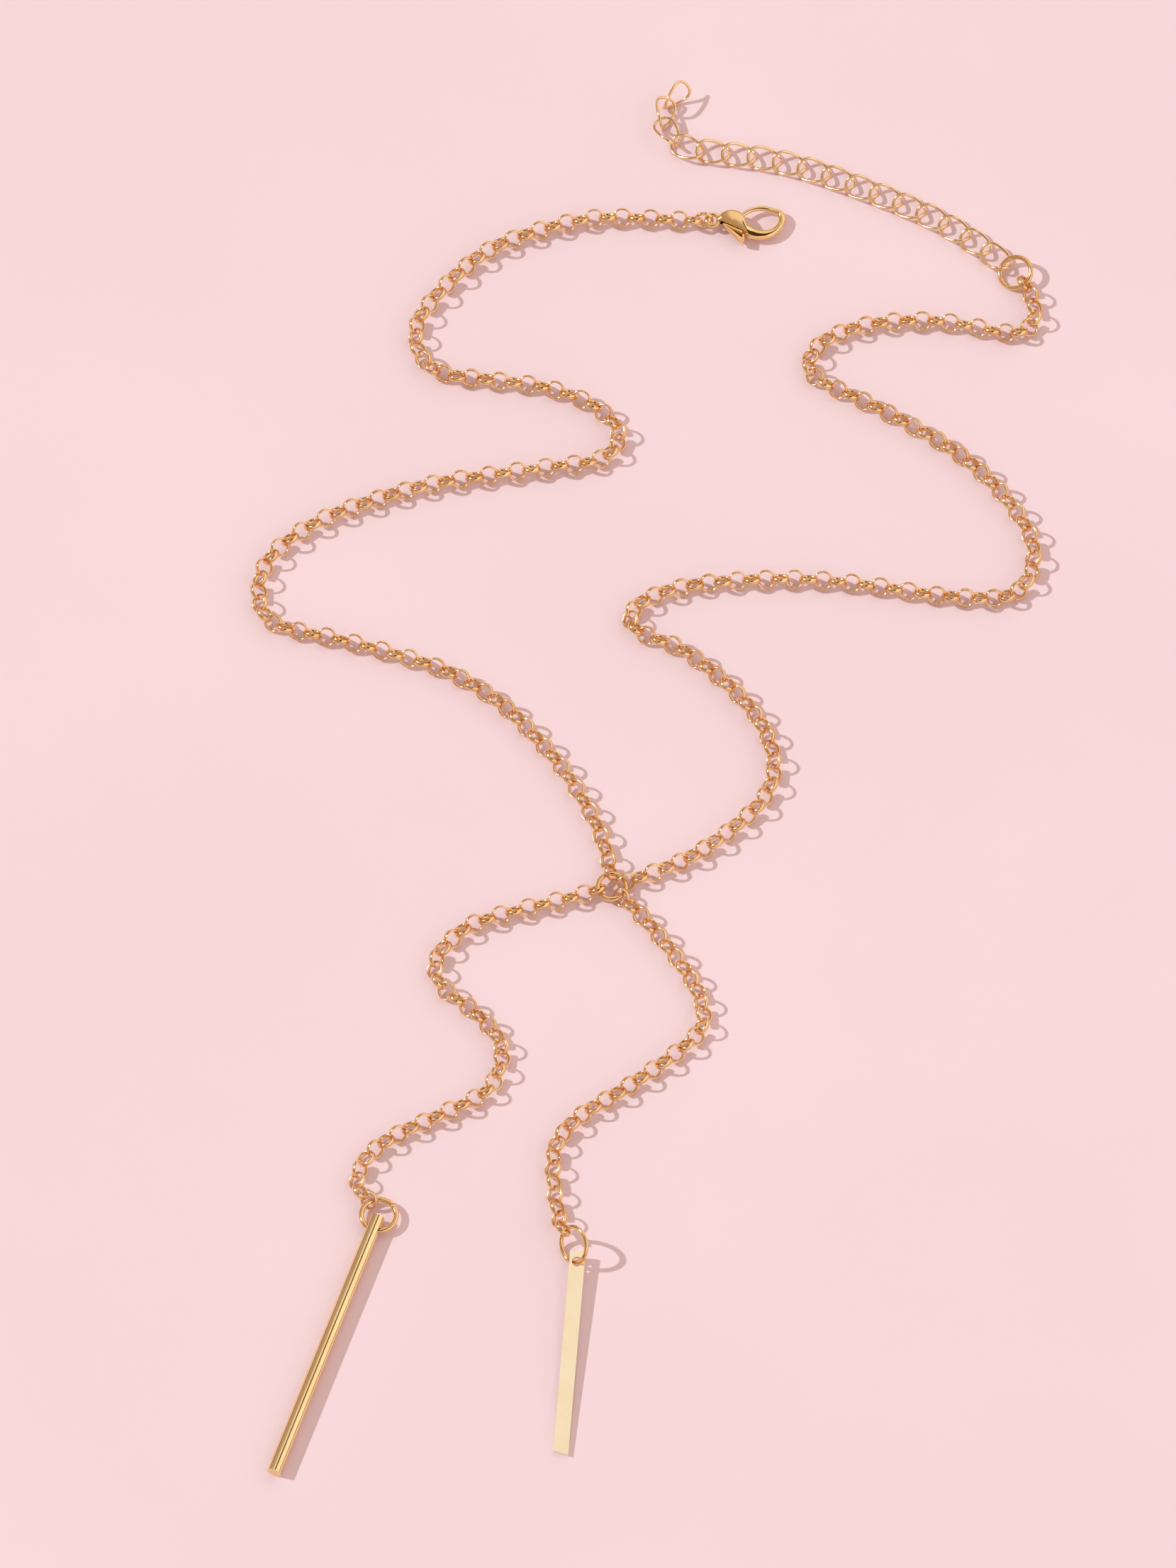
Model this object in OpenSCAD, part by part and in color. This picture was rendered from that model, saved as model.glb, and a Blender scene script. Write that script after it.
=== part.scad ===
// Y necklace lying open: belcher chain strands, a curb extender, a sprung clasp and two bar pendants.
// Millimetres. The surface that it lies on is z = 0, and the pendants point to -Y.

/* [Belcher chain] */
// outer diameter of one round link
link_d = 2.7; // [2.65:0.05:2.8]
// thickness of a link's band, measured outwards
band_t = 0.3; // [0.26:0.02:0.32]
// width of a link's band, measured along the link's axis
band_w = 0.72; // [0.6:0.04:0.76]
// play left between two links when the chain is laid out
link_slack = 0.12; // [0.12:0.02:0.2]
// tilt of each link about the chain's line
link_tilt = 45; // [43:1:47]
// slow twist of the chain about its line
twist = 7; // [0:1:8]
// length of one slow twist
twist_wave = 46; // [40:2:60]

/* [Rings] */
// outer diameter of the middle ring
middle_ring_d = 4.5; // [4.4:0.05:4.7]
// wire of the middle ring
middle_ring_wire = 0.65; // [0.6:0.05:0.7]
// outer diameter of the ring between the extender and the chain
extender_ring_d = 5.1; // [5:0.05:5.3]
// wire of the ring between the extender and the chain
extender_ring_wire = 0.65; // [0.6:0.05:0.7]
// outer diameter of the ring on the round rod
rod_ring_d = 5.45; // [5.3:0.05:5.6]
// wire of the ring on the round rod
rod_ring_wire = 0.7; // [0.6:0.05:0.75]
// outer diameter of the ring on the flat strip
strip_ring_d = 5.5; // [5.4:0.05:5.6]
// wire of the ring on the flat strip
strip_ring_wire = 0.6; // [0.55:0.05:0.6]
// outer diameter of the small ring at the clasp
clasp_ring_d = 2.7; // [2.6:0.05:2.8]
// wire of the small ring at the clasp
clasp_ring_wire = 0.44; // [0.4:0.02:0.46]

/* [Extender] */
// outer length of one curb link
curb_l = 5.1; // [5:0.05:5.2]
// outer width of one curb link
curb_w = 3.7; // [3.5:0.1:4]
// wire of a curb link
curb_wire = 0.42; // [0.36:0.02:0.44]
// height of the curb link's twist to each side
curb_rise = 0.52; // [0.5:0.02:0.6]
// play between two curb links along the chain
curb_slack = 0.6; // [0.56:0.02:0.66]

/* [Round rod] */
// diameter of the rod
rod_d = 2; // [1.9:0.05:2.1]
// length of the rod
rod_l = 40.6; // [38:0.2:42]
// diameter of the rod's cross hole
rod_hole_d = 1.25; // [1.2:0.05:1.3]
// distance of the cross hole from the rod's top end
rod_hole_in = 2; // [1.8:0.1:2.4]

/* [Flat strip] */
// width of the strip
strip_w = 2.1; // [2.1:0.05:2.3]
// thickness of the strip
strip_t = 0.55; // [0.5:0.05:0.55]
// length of the strip on its longer side
strip_l = 29.9; // [28:0.1:31]
// diameter of the hole through the strip's face
strip_hole_d = 1.42; // [1.4:0.02:1.46]
// distance of the hole from the strip's top end
strip_hole_in = 1.5; // [1.4:0.1:1.8]
// slant of the strip's lower end
strip_slant = 14; // [8:1:18]

/* [Clasp] */
// length of the clasp from the middle of its eye to the far end of its hook
clasp_l = 10.15; // [10:0.05:10.3]
// outer width of the clasp's hook
hook_w = 5.26; // [5.2:0.02:5.3]
// wire of the hook at its far end
hook_wire = 1; // [0.94:0.02:1.02]
// wire of the hook's arm beside the body
hook_root = 1.1; // [1.04:0.02:1.14]
// wire of the sprung gate that closes the hook
gate_wire = 0.76; // [0.7:0.02:0.78]
// diameter of the clasp's round body
clasp_body_d = 2.4; // [2.3:0.05:2.5]
// outer diameter of the clasp's eye
eye_d = 2.3; // [2.2:0.05:2.4]
// wire of the clasp's eye
eye_wire = 0.56; // [0.5:0.02:0.6]
// thickness of the clasp's lever
lever_t = 0.8; // [0.7:0.05:0.85]

/* [Hidden] */
$fn = 48;
gap = 0.12;
// height kept between the pieces and the surface
lay = 0.02;
// height of the links hooked in the extender's ring above the rest
hooked_z = 0.1;
curb_sides = 6;
curb_steps = 16;
tube_sides = 10;
tube_step = 5.5;
// space between a strand's tube and its end links
tube_seat = 0.4;
route_per = 10;
stride = 0.5;
bend_span = 1;
aim = 0.4;
section_sides = 8;
bend_squeeze = 0.5;
end_tilt = 8;
end_seat = 0.15;
gold = "#d9b36c";
pale_gold = "#ecd394";

// middle of the whole, so that the frame's origin is under it
centre = [-1.01, -0.72];

link_r = (link_d - band_t) / 2;
link_pitch = link_d - 2 * band_t - link_slack;
function link_reach(roll) = link_r * abs(sin(roll))
    + norm([band_t / 2 * sin(roll), band_w / 2 * cos(roll)]);
chain_z = max(link_reach(link_tilt + twist), link_reach(link_tilt - twist)) + lay;
tube_r = chain_z - 2 * lay;
hook_in = link_d / 2 - band_t;

middle_r = (middle_ring_d - middle_ring_wire) / 2;
middle_c = [-5.8, -18.1, chain_z];
left_at = 92;
right_at = 18;
tail_left_at = 193;
tail_right_at = -51;
function off(c, r, a, z) = [c[0] + r * cos(a), c[1] + r * sin(a), z];
function on_middle(a) = off(middle_c, middle_r + end_seat, a, 0);

extender_r = (extender_ring_d - extender_ring_wire) / 2;
extender_c = [49.95, 76.1];
extender_lean = 20;
extender_lean_at = 35;
right_from_at = -56;
curb_hook_at = 138;
curb_seat = 1.44;
extender_z = extender_r * sin(extender_lean) + extender_ring_wire / 2;

curb_r = [(curb_l - curb_wire) / 2, (curb_w - curb_wire) / 2];
curb_pitch = curb_l - 2 * curb_wire - curb_slack;
curb_z = curb_rise + curb_wire / 2 + lay;

rod_ring_c = [-37.52, -67.62];
rod_at = 69.9;
rod_r = rod_d / 2;
rod_ring_r = (rod_ring_d - rod_ring_wire) / 2;
rod_hole = rod_ring_c - rod_ring_r * [cos(rod_at), sin(rod_at)];
rod_end = rod_hole - (rod_l - rod_hole_in) * [cos(rod_at), sin(rod_at)];
rod_hook_at = 121;

strip_top = [-10.45, -73.4];
strip_at = 85.5;
strip_rise = 2.1;
strip_ring_r = (strip_ring_d - strip_ring_wire) / 2;
strip_ring_lean = 55;
strip_ring_at = -61;
strip_ring_pass = 29;
ring_across = [cos(strip_ring_at), sin(strip_ring_at), 0];
ring_up = [-sin(strip_ring_at) * cos(strip_ring_lean), cos(strip_ring_at) * cos(strip_ring_lean),
    sin(strip_ring_lean)];
strip_ring_z = strip_ring_r * sin(strip_ring_lean) + strip_ring_wire / 2;
strip_hole = [strip_top[0] - strip_hole_in * cos(strip_at), strip_top[1] - strip_hole_in * sin(strip_at),
    strip_ring_z - strip_ring_r * sin(strip_ring_pass) * ring_up[2]];
strip_ring_c = strip_hole - strip_ring_r * (cos(strip_ring_pass) * ring_across - sin(strip_ring_pass) * ring_up);

strip_hook = [-1.46, 2.57, 0.85];

clasp_c = [8.15, 84.1];
clasp_at = -3;
clasp_tilt = 3;
eye_r = (eye_d - eye_wire) / 2;
clasp_ring_r = (clasp_ring_d - clasp_ring_wire) / 2;
clasp_ring_roll = 65;
clasp_ring_z = clasp_ring_r * sin(clasp_ring_roll) + clasp_ring_wire / 2 + lay;
// outline of the body beside its axis: parts of its half diameter and of its length
bulb = [[0, 0], [0.42, 0], [0.78, 0.14], [0.96, 0.3], [1, 0.5], [0.96, 0.72], [0.8, 0.92], [0.45, 1.05],
    [0, 1.05]];

// the hook's line: a tight arc at its far end between two wide ones
end_turn = 50;
end_r = 1.75;
end_c = clasp_l - hook_wire / 2 - end_r;
side_r = ((hook_w - hook_wire) / 2 - end_r * sin(end_turn)) / (1 - sin(end_turn));
side_c = [end_c - (side_r - end_r) * cos(end_turn), (side_r - end_r) * sin(end_turn)];
arm_turn = 138;
// the body covers this much of the arms' roots
root_in = 0.727;
body_from = eye_r;
body_to = side_c[0] + side_r * cos(arm_turn) + root_in;
body_long = body_to - body_from;
body_half = clasp_body_d / 2;
clasp_z = body_half + (body_from + body_long / 2) * sin(clasp_tilt) + lay;
mouth_turn = 63;
mouth_over = 10;
tip_part = 0.92;

pin_d = 0.6;
pin_in = [1.18, 0.35];
pin_part = 0.75;
pivot = [body_to - pin_in[0], pin_in[1]];
mouth_r = norm([side_c[0] + side_r * cos(mouth_turn), side_r * sin(mouth_turn) - side_c[1]] - pivot);
slot_w = lever_t + 2 * gap;
slot_top = 0.5;
slot_in = 1.03;
gate_slot = [1.88, -0.45];
cheek_from = [0.9, -0.15];
cheek_drop = 1.687;
cheek_slant = atan(cheek_drop / (body_to - cheek_from[0]));

// reach of the lever's tip from its pivot, along the body
lever_reach = 0.559 * body_long;
// outline of the lever about its pivot: tip, web, gate's root, web and tab's root
lever_line = [[-lever_reach, -1.3], [-0.98 * lever_reach, -1.15], [-0.47 * lever_reach, -0.75],
    [-0.6, -0.1], [0.1, 0.62], [0.35, 0.85],
    [0.75, 0.7], [0.62, 0.1], [0, -0.7], [-0.1, -0.95], [-0.15, -1.85], [0.1, -2.1], [0.6, -2.25]];
lever_boss = 0.66;
// the hollow on the lever, about its pivot
hollow = [[-0.55 * lever_reach, -1.55], [0.15, -2.35], [0.15, -3], [-0.2, -3]];
hollow_deep = 0.3;
tab_out = 2.05;
tab_y = -body_half - tab_out;
tab_t = 0.28;
tab_w = 1.2;

ring_seat = 0.3;
first_seat = 0.5;
clasp_ring_x = -eye_r - clasp_ring_r + eye_wire / 2 + clasp_ring_wire / 2 + ring_seat;
left_from = [clasp_c[0] + clasp_ring_x - clasp_ring_r - hook_in + clasp_ring_wire / 2 + first_seat,
    clasp_c[1], 0];

left_route = concat([left_from], [[-2.5, 84.5, 0], [-8, 84.5, 0], [-14.5, 83, 0], [-21, 80.5, 0],
    [-25, 77.8, 0], [-29, 73.7, 0], [-32.3, 69, 0], [-32.7, 65, 0], [-31.3, 62, 0], [-28.5, 60.3, 0],
    [-23, 59.5, 0], [-15.5, 58.4, 0], [-9.5, 56.2, 0], [-6.2, 53.6, 0], [-4.8, 51.2, 0], [-5.5, 48.9, 0],
    [-8, 47, 0], [-14.5, 46, 0], [-23, 44.7, 0], [-30.5, 43.4, 0], [-38, 41.1, 0], [-45.5, 38, 0],
    [-51, 34.1, 0], [-53.6, 30.5, 0], [-54.3, 26.5, 0], [-53.3, 23.2, 0], [-50.5, 21.3, 0], [-43.5, 19.6, 0],
    [-36, 17.4, 0], [-28.5, 14.7, 0], [-21.3, 10, 0], [-15.9, 4.2, 0], [-11.5, -1.8, 0], [-7.6, -9.5, 0]],
    [on_middle(left_at)]);
right_route = concat([off(extender_c, extender_r, right_from_at, hooked_z)],
    [[52.1, 72.4, 0], [52.6, 69.6, 0], [51.6, 67.4, 0], [48.8, 66.7, 0],
    [42.5, 68, 0], [38, 68.6, 0], [31.5, 68.3, 0], [26.5, 67, 0], [22.8, 64.8, 0], [21.4, 61.6, 0],
    [23.2, 59.2, 0], [28.5, 56.4, 0], [35, 52.7, 0], [41.5, 48.4, 0], [46.8, 43.3, 0], [50.8, 37.5, 0],
    [52.2, 33.3, 0], [51.3, 28.7, 0], [47.8, 26, 0], [39, 26.3, 0], [30.5, 27.7, 0], [22, 28.7, 0],
    [13.5, 28.7, 0], [5, 27.8, 0], [-0.8, 25.8, 0], [-3.2, 23.2, 0], [-1.8, 20.6, 0], [4, 17.9, 0],
    [10.5, 12.2, 0], [14.6, 6.8, 0], [16.4, 1, 0], [15.5, -3.7, 0], [12.3, -7.8, 0], [5, -13.6, 0]],
    [on_middle(right_at)]);
tail_left_route = concat([on_middle(tail_left_at)], [[-11, -19.7, 0], [-18.5, -21.7, 0], [-24.5, -23.7, 0],
    [-27.6, -26.1, 0], [-29.7, -29, 0], [-29.7, -31.8, 0], [-28, -34.3, 0], [-24.5, -37.2, 0], [-21.2, -41.3, 0],
    [-21, -45, 0], [-23, -49.1, 0], [-28.5, -52.3, 0], [-35, -55.6, 0], [-38.6, -58.4, 0], [-40.3, -61.5, 0],
    [-40.2, -63.9, 0]], [off(rod_ring_c, rod_ring_r + end_seat, rod_hook_at, 0)]);
tail_right_route = concat([on_middle(tail_right_at)], [[-1, -23.5, 0], [3.7, -30, 0], [6.2, -34.9, 0],
    [6.4, -39.5, 0], [2.7, -43.5, 0], [-4.5, -49, 0], [-10.2, -52.9, 0], [-13.3, -57, 0], [-13.8, -61.5, 0],
    [-13.1, -67.4, 0.05]], [[strip_ring_c[0] + strip_hook[0], strip_ring_c[1] + strip_hook[1], strip_hook[2]]]);
curb_route = concat([off(extender_c, extender_r + curb_seat, curb_hook_at, hooked_z)],
    [[44.5, 80.8, 0], [40, 83.9, 0], [35.3, 86.4, 0], [30.1, 88.8, 0], [21.7, 92.2, 0], [15.5, 93.9, 0],
    [8.3, 95, 0]]);
// the extender's last links, which curl up: middle, then direction, rise and roll
curl = [[4.7, 95.6, 0.81, 154, -1, 0], [2, 97.9, 1.18, 115, -5, 26], [1.5, 100.6, 1.68, 80, 1, 52],
    [3, 103, 1.93, 44, 9.5, 74.5]];

// a smooth line through a route's points, and its running length
function blend(a, b, c, d, t) = 0.5 * (2 * b + (c - a) * t + (2 * a - 5 * b + 4 * c - d) * t * t
    + (3 * b - a - 3 * c + d) * t * t * t);
function curve(p) = concat([for (i = [0:len(p) - 2]) for (k = [0:route_per - 1])
    blend(p[max(i - 1, 0)], p[i], p[i + 1], p[min(i + 2, len(p) - 1)], k / route_per)], [p[len(p) - 1]]);
function running(c) = [for (i = 0, s = 0; i < len(c); s = i + 1 < len(c) ? s + norm(c[i + 1] - c[i]) : s,
    i = i + 1) s];
function table(c, r, axis) = [for (i = [0:len(c) - 1]) [r[i], c[i][axis]]];
function tables(c, r) = [for (axis = [0:2]) table(c, r, axis)];
function along(t, s) = [for (axis = [0:2]) lookup(s, t[axis])];

// the links' places along a route, closer where it bends
function squeeze(t, s) = 1 / (1 - bend_squeeze * norm(along(t, s + bend_span)
    + along(t, s - bend_span) - 2 * along(t, s)));
function stations(t, total, pitch) =
    let (m = ceil(total / stride), h = total / m)
    let (w = [for (i = [0:m]) squeeze(t, min(max(i * h, bend_span), total - bend_span))])
    let (u = [for (i = 0, a = 0; i <= m; a = i < m ? a + (w[i] + w[i + 1]) / 2 * h : a, i = i + 1) a])
    let (n = round(u[m] / pitch), back = [for (i = [0:m]) [u[i], i * h]])
    [for (i = [0:n]) lookup(u[m] * i / n, back)];

// a round wire of n sides along a line of points
function unit(v) = v / norm(v);
function heading(p, i, closed) = closed
    ? unit(p[(i + 1) % len(p)] - p[(i + len(p) - 1) % len(p)])
    : unit(p[min(i + 1, len(p) - 1)] - p[max(i - 1, 0)]);
function around(c, t, r, n) = let (s = unit(cross(t, [0, 0, 1])), u = cross(s, t))
    [for (k = [0:n - 1]) c + r * (cos(360 * k / n) * s + sin(360 * k / n) * u)];
module sweep(p, r, n, closed) {
    m = len(p);
    points = [for (i = [0:m - 1]) each around(p[i], heading(p, i, closed), r, n)];
    sides = [for (i = [0:(closed ? m - 1 : m - 2)]) for (k = [0:n - 1])
        let (a = i * n, b = (i + 1) % m * n, l = (k + 1) % n)
        each [[a + k, a + l, b + l], [a + k, b + l, b + k]]];
    caps = closed ? [] : [[for (k = [n - 1:-1:0]) k], [for (k = [0:n - 1]) (m - 1) * n + k]];
    polyhedron(points = points, faces = concat(sides, caps), convexity = 8);
}

// puts the frame's origin under the middle of the whole
module whole() {
    translate([-centre[0], -centre[1], 0])
        children();
}

module torus(r, wire) {
    rotate_extrude()
        translate([r, 0])
            circle(d = wire);
}

module belcher_link() {
    rotate_extrude()
        translate([link_r, 0])
            polygon([for (k = [0:section_sides - 1])
                [band_t / 2 * cos(360 * k / section_sides), band_w / 2 * sin(360 * k / section_sides)]]);
}

module curb_link() {
    sweep([for (k = [0:curb_steps - 1]) let (a = 360 * k / curb_steps)
        [curb_r[0] * cos(a), curb_r[1] * sin(a), -curb_rise * sin(2 * a)]], curb_wire / 2, curb_sides, true);
}

// places its child at s along a route, turned to the route's direction and rolled about it
module placed(t, s, z, roll) {
    a = along(t, s - aim);
    b = along(t, s + aim);
    d = b - a;
    translate(along(t, s) + [0, 0, z])
        rotate([0, -atan2(d[2], norm([d[0], d[1]])), atan2(d[1], d[0])])
            rotate([roll, 0, 0])
                children();
}

module belcher_chain(route) {
    c = curve(route);
    r = running(c);
    t = tables(c, r);
    total = r[len(r) - 1];
    at = stations(t, total, link_pitch);
    n = len(at) - 1;
    wave = total / round(total / twist_wave);
    for (i = [0:n])
        let (side = i % 2 == 0 ? 1 : -1, more = i == 0 || i == n ? end_tilt : 0)
            placed(t, at[i], chain_z, side * (link_tilt + more) + twist * sin(360 * at[i] / wave))
                belcher_link();
}

// a tube for a long strand, with its two end links in their rings, tilted to the given sides
module chain_tube(route, sides) {
    c = curve(route);
    r = running(c);
    t = tables(c, r);
    total = r[len(r) - 1];
    from = link_d / 2 + tube_seat;
    to = total - from;
    n = ceil((to - from) / tube_step);
    sweep([for (i = [0:n]) along(t, from + (to - from) * i / n) + [0, 0, chain_z]],
        tube_r, tube_sides, false);
    for (k = [0, 1])
        placed(t, k * total, chain_z, sides[k] * (link_tilt + end_tilt))
            belcher_link();
}

module strand_left() {
    color(gold) whole()
        chain_tube(left_route, [1, -1]);
}

module strand_right() {
    color(gold) whole()
        chain_tube(right_route, [-1, -1]);
}

module tail_left() {
    color(gold) whole()
        belcher_chain(tail_left_route);
}

module tail_right() {
    color(gold) whole()
        belcher_chain(tail_right_route);
}

module junction_ring() {
    color(gold) whole()
        translate(middle_c)
            torus(middle_r, middle_ring_wire);
}

module extender() {
    c = curve(curb_route);
    r = running(c);
    t = tables(c, r);
    total = r[len(r) - 1];
    n = round(total / curb_pitch);
    color(pale_gold) whole() {
        for (i = [0:n])
            placed(t, total * i / n, curb_z, 0)
                curb_link();
        for (p = curl)
            translate([p[0], p[1], p[2]])
                rotate([0, -p[4], p[3]])
                    rotate([p[5], 0, 0])
                        curb_link();
    }
}

module extender_ring() {
    color(gold) whole()
        translate([extender_c[0], extender_c[1], extender_z])
            rotate([0, 0, extender_lean_at])
                rotate([0, -extender_lean, 0])
                    torus(extender_r, extender_ring_wire);
}

module in_clasp() {
    translate([clasp_c[0], clasp_c[1], clasp_z])
        rotate([0, 0, clasp_at])
            rotate([0, clasp_tilt, 0])
                children();
}

// one of the hook's wide arcs, above its axis (side 1) or below it (side -1)
module side_arc(side, from, to, wire) {
    translate([side_c[0], -side * side_c[1], 0])
        rotate([0, 0, side > 0 ? from : -to])
            rotate_extrude(angle = to - from)
                translate([side_r, 0])
                    circle(d = wire);
}

module end_arc() {
    translate([end_c, 0, 0])
        rotate([0, 0, -end_turn])
            rotate_extrude(angle = 2 * end_turn)
                translate([end_r, 0])
                    circle(d = hook_wire);
}

// a round block about the pivot, which the gate's end and the hook's tip are cut to
module swing_of(r) {
    translate([pivot[0], pivot[1], -hook_root])
        cylinder(r = r, h = 2 * hook_root);
}

// the slots that the lever and the gate swing in
module slots() {
    translate([body_from, -clasp_body_d, -slot_w / 2])
        cube([body_to - slot_in - body_from, clasp_body_d + slot_top, slot_w]);
    translate([body_to - gate_slot[0], gate_slot[1], -slot_w / 2])
        cube([clasp_l, clasp_body_d, slot_w]);
}

// what is cut off the body's cheeks so that the lever's side shows
module below_cheeks() {
    translate([cheek_from[0], cheek_from[1], 0])
        rotate([0, 0, -cheek_slant])
            translate([-clasp_body_d, -2 * clasp_body_d, -clasp_body_d])
                cube([3 * clasp_body_d, 2 * clasp_body_d, 2 * clasp_body_d]);
}

module clasp_body() {
    color(gold) whole()
        in_clasp() {
            torus(eye_r, eye_wire);
            difference() {
                translate([body_from - eye_wire / 2, 0, 0])
                    rotate([0, 90, 0])
                        rotate_extrude()
                            polygon([for (p = bulb) [body_half * p[0], body_long * p[1]]]);
                slots();
                below_cheeks();
            }
            side_arc(-1, end_turn, arm_turn, hook_root);
            end_arc();
            difference() {
                side_arc(1, end_turn, mouth_turn + mouth_over, hook_wire * tip_part);
                swing_of(mouth_r + gap / 2);
            }
            translate([pivot[0], pivot[1], -body_half * pin_part])
                cylinder(d = pin_d, h = clasp_body_d * pin_part);
        }
}

module clasp_lever() {
    line = [for (p = lever_line) pivot + p];
    tab = line[len(line) - 1];
    color(gold) whole()
        in_clasp() {
            difference() {
                translate([0, 0, -lever_t / 2])
                    linear_extrude(lever_t)
                        difference() {
                            union() {
                                polygon(concat(line, [[tab[0], tab_y], [tab[0] - tab_t, tab_y]]));
                                translate(pivot)
                                    circle(lever_boss);
                            }
                            translate(pivot)
                                circle(d = pin_d + 2 * gap);
                        }
                translate([pivot[0], pivot[1], lever_t / 2 - hollow_deep])
                    linear_extrude(lever_t)
                        polygon(hollow);
            }
            translate([tab[0] - tab_t, tab_y, -tab_w / 2])
                cube([tab_t, tab[1] - tab_y, tab_w]);
            intersection() {
                side_arc(1, mouth_turn - mouth_over, arm_turn, gate_wire);
                swing_of(mouth_r - gap / 2);
            }
        }
}

module clasp_link() {
    color(gold) whole()
        translate([clasp_c[0], clasp_c[1], clasp_ring_z])
            rotate([0, 0, clasp_at])
                translate([clasp_ring_x, 0, 0])
                    rotate([clasp_ring_roll, 0, 0])
                        torus(clasp_ring_r, clasp_ring_wire);
}

module bar_ring_left() {
    color(gold) whole()
        translate([rod_ring_c[0], rod_ring_c[1], rod_r])
            torus(rod_ring_r, rod_ring_wire);
}

module bar_long() {
    color(gold) whole()
        translate([rod_end[0], rod_end[1], rod_r])
            rotate([0, 0, rod_at])
                difference() {
                    rotate([0, 90, 0])
                        cylinder(d = rod_d, h = rod_l);
                    translate([rod_l - rod_hole_in, 0, 0])
                        rotate([90, 0, 0])
                            cylinder(d = rod_hole_d, h = 2 * rod_d, center = true);
                }
}

module bar_ring_right() {
    color(gold) whole()
        translate(strip_ring_c)
            rotate([0, 0, strip_ring_at])
                rotate([strip_ring_lean, 0, 0])
                    torus(strip_ring_r, strip_ring_wire);
}

module bar_short() {
    color(pale_gold) whole()
        translate(strip_hole)
            rotate([0, 0, strip_at])
                rotate([0, -strip_rise, 0])
                    translate([0, 0, -strip_t / 2])
                        difference() {
                            linear_extrude(strip_t)
                                polygon([[strip_hole_in, strip_w / 2], [strip_hole_in, -strip_w / 2],
                                    [strip_hole_in - strip_l, -strip_w / 2],
                                    [strip_hole_in - strip_l + strip_w * tan(strip_slant), strip_w / 2]]);
                            translate([0, 0, -strip_t])
                                cylinder(d = strip_hole_d, h = 3 * strip_t);
                        }
}

strand_left();
strand_right();
tail_left();
tail_right();
junction_ring();
extender();
extender_ring();
clasp_body();
clasp_lever();
clasp_link();
bar_ring_left();
bar_long();
bar_ring_right();
bar_short();
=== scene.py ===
# Y necklace lying open: real chain links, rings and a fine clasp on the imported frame, camera and light.
import math

import bpy
from mathutils import Matrix, Vector


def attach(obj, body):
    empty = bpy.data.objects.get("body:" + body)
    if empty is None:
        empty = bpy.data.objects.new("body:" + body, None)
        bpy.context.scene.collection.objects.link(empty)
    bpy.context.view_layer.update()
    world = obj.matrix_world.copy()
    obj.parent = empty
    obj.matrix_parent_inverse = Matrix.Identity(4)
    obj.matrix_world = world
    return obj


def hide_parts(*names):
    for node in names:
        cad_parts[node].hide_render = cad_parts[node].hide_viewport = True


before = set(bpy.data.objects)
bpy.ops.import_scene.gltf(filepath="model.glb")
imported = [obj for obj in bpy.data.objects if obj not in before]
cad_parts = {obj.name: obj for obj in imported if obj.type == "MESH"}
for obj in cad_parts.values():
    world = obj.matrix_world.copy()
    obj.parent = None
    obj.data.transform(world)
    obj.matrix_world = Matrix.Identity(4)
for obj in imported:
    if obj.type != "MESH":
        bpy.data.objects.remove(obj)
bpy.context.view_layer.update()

# Millimetres, as in the part's source. Every mesh is scaled to metres when it is made.
MM = 0.001
# the middle of the source's plan, and the air under the lowest metal
CENTRE = (-1.01, -0.72)
LAY = 0.02

# belcher links: size, band, play, lean to either side with its slow change, and what the end links do more
LINK_D = 2.7
BAND_T = 0.3
BAND_W = 0.72
LINK_SLACK = 0.12
LINK_TILT = 45
TWIST = 7
TWIST_WAVE = 46
END_TILT = 8
END_SEAT = 0.15
LINK_R = (LINK_D - BAND_T) / 2
LINK_PITCH = LINK_D - 2 * BAND_T - LINK_SLACK

# jump rings: outer diameter and wire
MIDDLE_D, MIDDLE_WIRE = 4.5, 0.65
EXTENDER_D, EXTENDER_WIRE = 5.1, 0.65
ROD_RING_D, ROD_RING_WIRE = 5.45, 0.7
STRIP_RING_D, STRIP_RING_WIRE = 5.5, 0.6
CLASP_RING_D, CLASP_RING_WIRE = 2.7, 0.44

# extender links: size, twist out of their plane, roundness (1 is an ellipse) and play
CURB_L, CURB_W, CURB_WIRE = 5.1, 3.7, 0.42
CURB_RISE = 0.52
CURB_SQUARE = 0.86
CURB_SLACK = 0.6

# the rod's thickness, and how far the strip's hole is from its end
ROD_D = 2.0
STRIP_HOLE_IN = 1.5

# how routes are followed: steps between points, stride, the span and strength of the squeeze at bends, and
# how far ahead and behind a link looks for its direction
ROUTE_PER = 10
STRIDE = 0.5
BEND_SPAN = 1
BEND_SQUEEZE = 0.5
AIM = 0.4


def polar(c, r, angle, z):
    """The point at that distance and direction from c."""
    a = math.radians(angle)
    return (c[0] + r * math.cos(a), c[1] + r * math.sin(a), z)


def turn(axis, angle):
    """A turn about an axis by degrees."""
    return Matrix.Rotation(math.radians(angle), 4, axis)


def link_reach(roll):
    """Half the height that a rolled link takes up."""
    a = math.radians(roll)
    return LINK_R * abs(math.sin(a)) + math.hypot(BAND_T / 2 * math.sin(a), BAND_W / 2 * math.cos(a))


CHAIN_Z = max(link_reach(LINK_TILT + TWIST), link_reach(LINK_TILT - TWIST)) + LAY

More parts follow.
